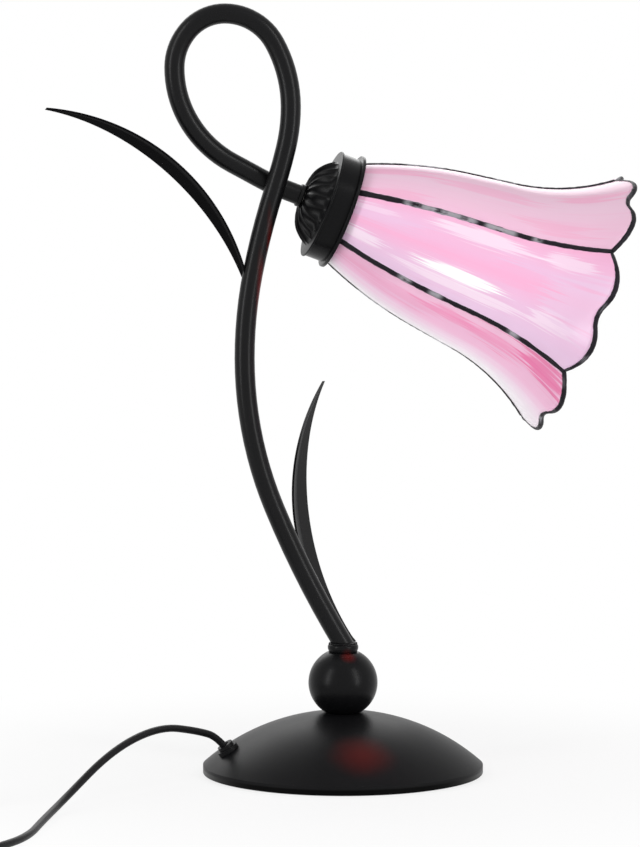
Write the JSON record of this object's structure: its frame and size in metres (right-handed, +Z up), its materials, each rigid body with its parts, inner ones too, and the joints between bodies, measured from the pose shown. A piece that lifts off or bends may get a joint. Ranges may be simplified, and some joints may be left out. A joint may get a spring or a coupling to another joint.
{
  "type": "table lamp",
  "caption": "Table lamp with a flower-shaped shade of bent pink art glass, hung from a looped black tube with leaves on a ball and a weighted dome base, on a mains lead with a rocker switch.",
  "frame": {"origin": "centre of the round base, on the surface that the lamp stands on", "axes": "+Z up, +X from the base towards the side that the shade points to, -Y the side seen in the picture"},
  "size_m": [0.4609, 0.3276, 0.4432],
  "materials": {
    "black_lacquer": "satin black lacquer",
    "base_felt": "pressed felt",
    "iron_weight": "as cast",
    "plated_steel": "zinc plated",
    "pink_glass": "streaky opalescent, glossy",
    "black_patina_solder": "hammered solder with black patina",
    "tinned_plate": "tinned",
    "holder_black": "moulded thermoset",
    "contact_brass": "plain",
    "bulb_cap_metal": "rolled thread",
    "opal_glass": "opal",
    "cord_black": "soft matt sheath",
    "switch_black": "moulded, fine texture",
    "tie_black": "plain",
    "plug_black": "moulded",
    "pin_nickel": "nickel plated"
  },
  "bodies": {
    "lamp": {"base_dome": "black_lacquer", "ball": "black_lacquer", "foot_collar": "black_lacquer", "stem_tube": "black_lacquer", "upper_leaf": "black_lacquer", "lower_leaf": "black_lacquer", "stem_ferrule": "black_lacquer", "canopy_cap": "black_lacquer", "fitter_ring": "black_lacquer", "base_felt": "base_felt", "base_weight": "iron_weight", "tie_rod": "plated_steel", "base_nut": "plated_steel", "base_washer": "plated_steel", "end_nipple": "plated_steel", "switch_screw_1": "plated_steel", "switch_screw_2": "plated_steel", "glass_petal_1": "pink_glass", "glass_petal_2": "pink_glass", "glass_petal_3": "pink_glass", "glass_petal_4": "pink_glass", "glass_petal_5": "pink_glass", "glass_petal_6": "pink_glass", "lip_foil_1": "black_patina_solder", "lip_foil_2": "black_patina_solder", "lip_foil_3": "black_patina_solder", "lip_foil_4": "black_patina_solder", "lip_foil_5": "black_patina_solder", "lip_foil_6": "black_patina_solder", "solder_seam_1": "black_patina_solder", "solder_seam_2": "black_patina_solder", "solder_seam_3": "black_patina_solder", "solder_seam_4": "black_patina_solder", "solder_seam_5": "black_patina_solder", "solder_seam_6": "black_patina_solder", "neck_plate": "tinned_plate", "lampholder": "holder_black", "shade_ring": "holder_black", "screw_shell": "contact_brass", "centre_contact": "contact_brass", "bulb_cap": "bulb_cap_metal", "bulb_glass": "opal_glass", "cord_bushing": "cord_black", "cord_run_1": "cord_black", "cord_run_2": "cord_black", "cord_run_3": "cord_black", "cord_coil": "cord_black", "switch_base": "switch_black", "switch_cover": "switch_black", "cord_tie": "tie_black", "plug_body": "plug_black", "plug_pin_1": "pin_nickel", "plug_pin_2": "pin_nickel"},
    "rocker": {"switch_rocker": "switch_black"}
  },
  "joints": [
    {"name": "rocker_tilt", "type": "hinge", "parent": "lamp", "child": "rocker", "pos_m": [-0.2721, -0.1623, 0.0102], "axis": [1, 0, 0], "range_deg": [0, 16]}
  ]
}
